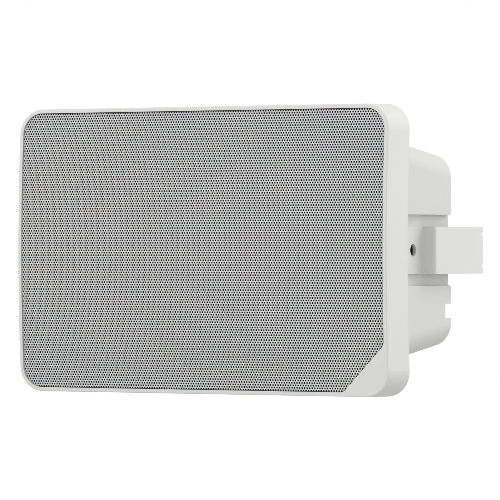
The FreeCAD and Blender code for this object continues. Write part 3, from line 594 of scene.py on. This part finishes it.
def makeBand(field, number):
    # one upright band of the sheet, given its thickness and then its bow
    width = (sheetHigh.x - sheetLow.x) / grille["bands"]
    left = sheetLow.x + width * number
    band = field.copy()
    band.data = field.data.copy()
    band.name = "grilleSheet%d" % (number + 1)
    band.data.name = band.name
    bpy.context.collection.objects.link(band)
    bpy.ops.object.select_all(action="DESELECT")
    band.select_set(True)
    bpy.context.view_layer.objects.active = band
    sides = []
    if number > 0:
        sides.append((Vector((left, 0.0, 0.0)), Vector((-1.0, 0.0, 0.0))))
    if number < grille["bands"] - 1:
        sides.append((Vector((left + width, 0.0, 0.0)), Vector((1.0, 0.0, 0.0))))
    trimField(band, sides)
    bpy.ops.object.modifier_add(type="SOLIDIFY")
    thick = band.modifiers[-1]
    thick.thickness = grille["thickness"]
    thick.offset = -1.0
    bpy.ops.object.modifier_apply(modifier=thick.name)
    spots = np.zeros(len(band.data.vertices) * 3, np.float32)
    band.data.vertices.foreach_get("co", spots)
    spots = spots.reshape(-1, 3)
    spots[:, 1] += bowAt(spots[:, 2])
    band.data.vertices.foreach_set("co", spots.ravel())
    band.data.update()
    mapForBake(band.data)
    bpy.ops.object.shade_smooth_by_angle(angle=math.radians(grille["smoothAngle"]))
    band.data.materials.clear()
    band.data.materials.append(grillePaint)
    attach(band, "speaker")
    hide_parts("grille")
    faces = sum(len(p.vertices) - 2 for p in band.data.polygons)
    print(band.name, "triangles", faces)


cellField = growCells()
trimField(cellField, outlineCuts())
for bandNumber in range(grille["bands"]):
    makeBand(cellField, bandNumber)
bpy.data.objects.remove(cellField)
print("grille punched")


# white tent with four large softboxes aimed at the speaker; the camera sees plain white round it
tent = {"level": 0.64, "tint": (1.0, 1.0, 0.99), "floorDrop": 0.17, "floorSide": 6.0, "floorTone": 0.60}
boxAim = (0.0, -0.08, 0.0)
softboxes = {
    "frontBox": {"place": (0.0, -2.45, 0.33), "size": 1.3, "power": 13.6},
    "leftBox": {"place": (-1.47, -0.93, 1.70), "size": 1.3, "power": 7.6},
    "rearBox": {"place": (1.19, 1.98, 0.33), "size": 1.3, "power": 12.0},
    "highBox": {"place": (1.09, 1.22, 1.70), "size": 1.3, "power": 19.0},
}


def makeTent():
    world = bpy.data.worlds.new("whiteTent")
    bpy.context.scene.world = world
    world.use_nodes = True
    world.cycles.sampling_method = "NONE"  # an even tent needs no light sampling, and is cleaner without
    tree = world.node_tree
    tree.nodes.clear()
    glow = putNode(tree, "ShaderNodeBackground", values={
        "Color": (*tent["tint"], 1.0), "Strength": tent["level"]})
    plain = putNode(tree, "ShaderNodeBackground", values={"Color": (1.0, 1.0, 1.0, 1.0), "Strength": 1.0})
    path = putNode(tree, "ShaderNodeLightPath")
    both = putNode(tree, "ShaderNodeMixShader")
    out = putNode(tree, "ShaderNodeOutputWorld")
    tree.links.new(path.outputs["Is Camera Ray"], both.inputs["Fac"])
    tree.links.new(glow.outputs[0], both.inputs[1])
    tree.links.new(plain.outputs[0], both.inputs[2])
    tree.links.new(both.outputs[0], out.inputs["Surface"])


def makeSoftboxes():
    for name, box in softboxes.items():
        bpy.ops.object.light_add(type="AREA", location=box["place"])
        lamp = bpy.context.object
        lamp.name = name
        lamp.data.shape = "SQUARE"
        lamp.data.size = box["size"]
        lamp.data.energy = box["power"]
        lamp.rotation_euler = (Vector(boxAim) - lamp.location).to_track_quat("-Z", "Y").to_euler()


def makeFloor():
    bpy.ops.object.select_all(action="DESELECT")
    bpy.ops.mesh.primitive_plane_add(size=tent["floorSide"], location=(0.0, 0.0, -tent["floorDrop"]))
    floor = bpy.context.object
    floor.name = "paleFloor"
    paper = bpy.data.materials.new("palePaper")
    paper.use_nodes = True
    tree = paper.node_tree
    tree.nodes.clear()
    shade = putNode(tree, "ShaderNodeBsdfDiffuse", values={"Color": (*[tent["floorTone"]] * 3, 1.0)})
    out = putNode(tree, "ShaderNodeOutputMaterial")
    tree.links.new(shade.outputs[0], out.inputs["Surface"])
    floor.data.materials.append(paper)
    floor.visible_camera = False  # it gives light only, so the underside shows too


makeTent()
makeSoftboxes()
makeFloor()
print("light and floor set")


# camera level with the middle of the front, 30 degrees to the right
view = {"aim": (0.0346, -0.1441, 0.00015), "turn": 29.65, "distance": 2.61, "lens": 319.75,
        "sensor": 36.0, "clipEnd": 50.0, "pixelWidth": 0.6}


def makeCamera():
    bpy.ops.object.select_all(action="DESELECT")
    turn = math.radians(view["turn"])
    aim = Vector(view["aim"])
    place = aim + Vector((math.sin(turn), -math.cos(turn), 0.0)) * view["distance"]
    bpy.ops.object.camera_add(location=place)
    camera = bpy.context.object
    camera.name = "photoCamera"
    camera.rotation_euler = (aim - place).to_track_quat("-Z", "Y").to_euler()
    camera.data.sensor_width = view["sensor"]
    camera.data.lens = view["lens"]
    camera.data.clip_end = view["clipEnd"]
    bpy.context.scene.camera = camera


makeCamera()
bpy.context.scene.view_settings.view_transform = "Standard"
# sharp pixels, and a denoiser with its guides left raw, or the punched holes melt into grey
cycles = bpy.context.scene.cycles
cycles.filter_width = view["pixelWidth"]
cycles.use_denoising = True
cycles.denoising_input_passes = "RGB_ALBEDO_NORMAL"
cycles.denoising_prefilter = "NONE"
print("camera set")
